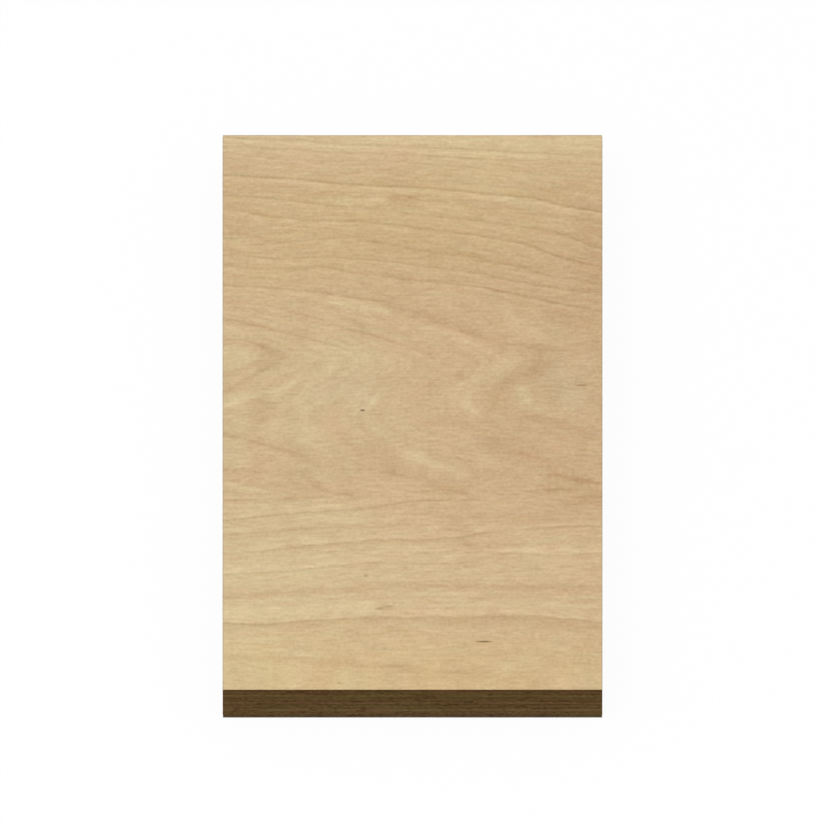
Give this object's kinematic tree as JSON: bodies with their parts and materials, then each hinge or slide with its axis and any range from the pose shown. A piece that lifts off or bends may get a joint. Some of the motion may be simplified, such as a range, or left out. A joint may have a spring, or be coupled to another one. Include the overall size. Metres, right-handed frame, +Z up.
{
  "type": "plywood sheet",
  "caption": "Flat rectangular birch plywood sheet with pale sanded faces and dark laser-cut edges that show its crossed veneers; stock for panels, bases and cut parts.",
  "frame": {"origin": "centre of the back face, the face that the sheet lies on", "axes": "+X along the grain of the face veneer, +Y from the front edge to the back edge, +Z up through the thickness, out of the face veneer"},
  "size_m": [0.105, 0.2, 0.012],
  "materials": {
    "birch_plywood": "matte"
  },
  "bodies": {
    "root": {"plywood_sheet": "birch_plywood"}
  },
  "joints": []
}
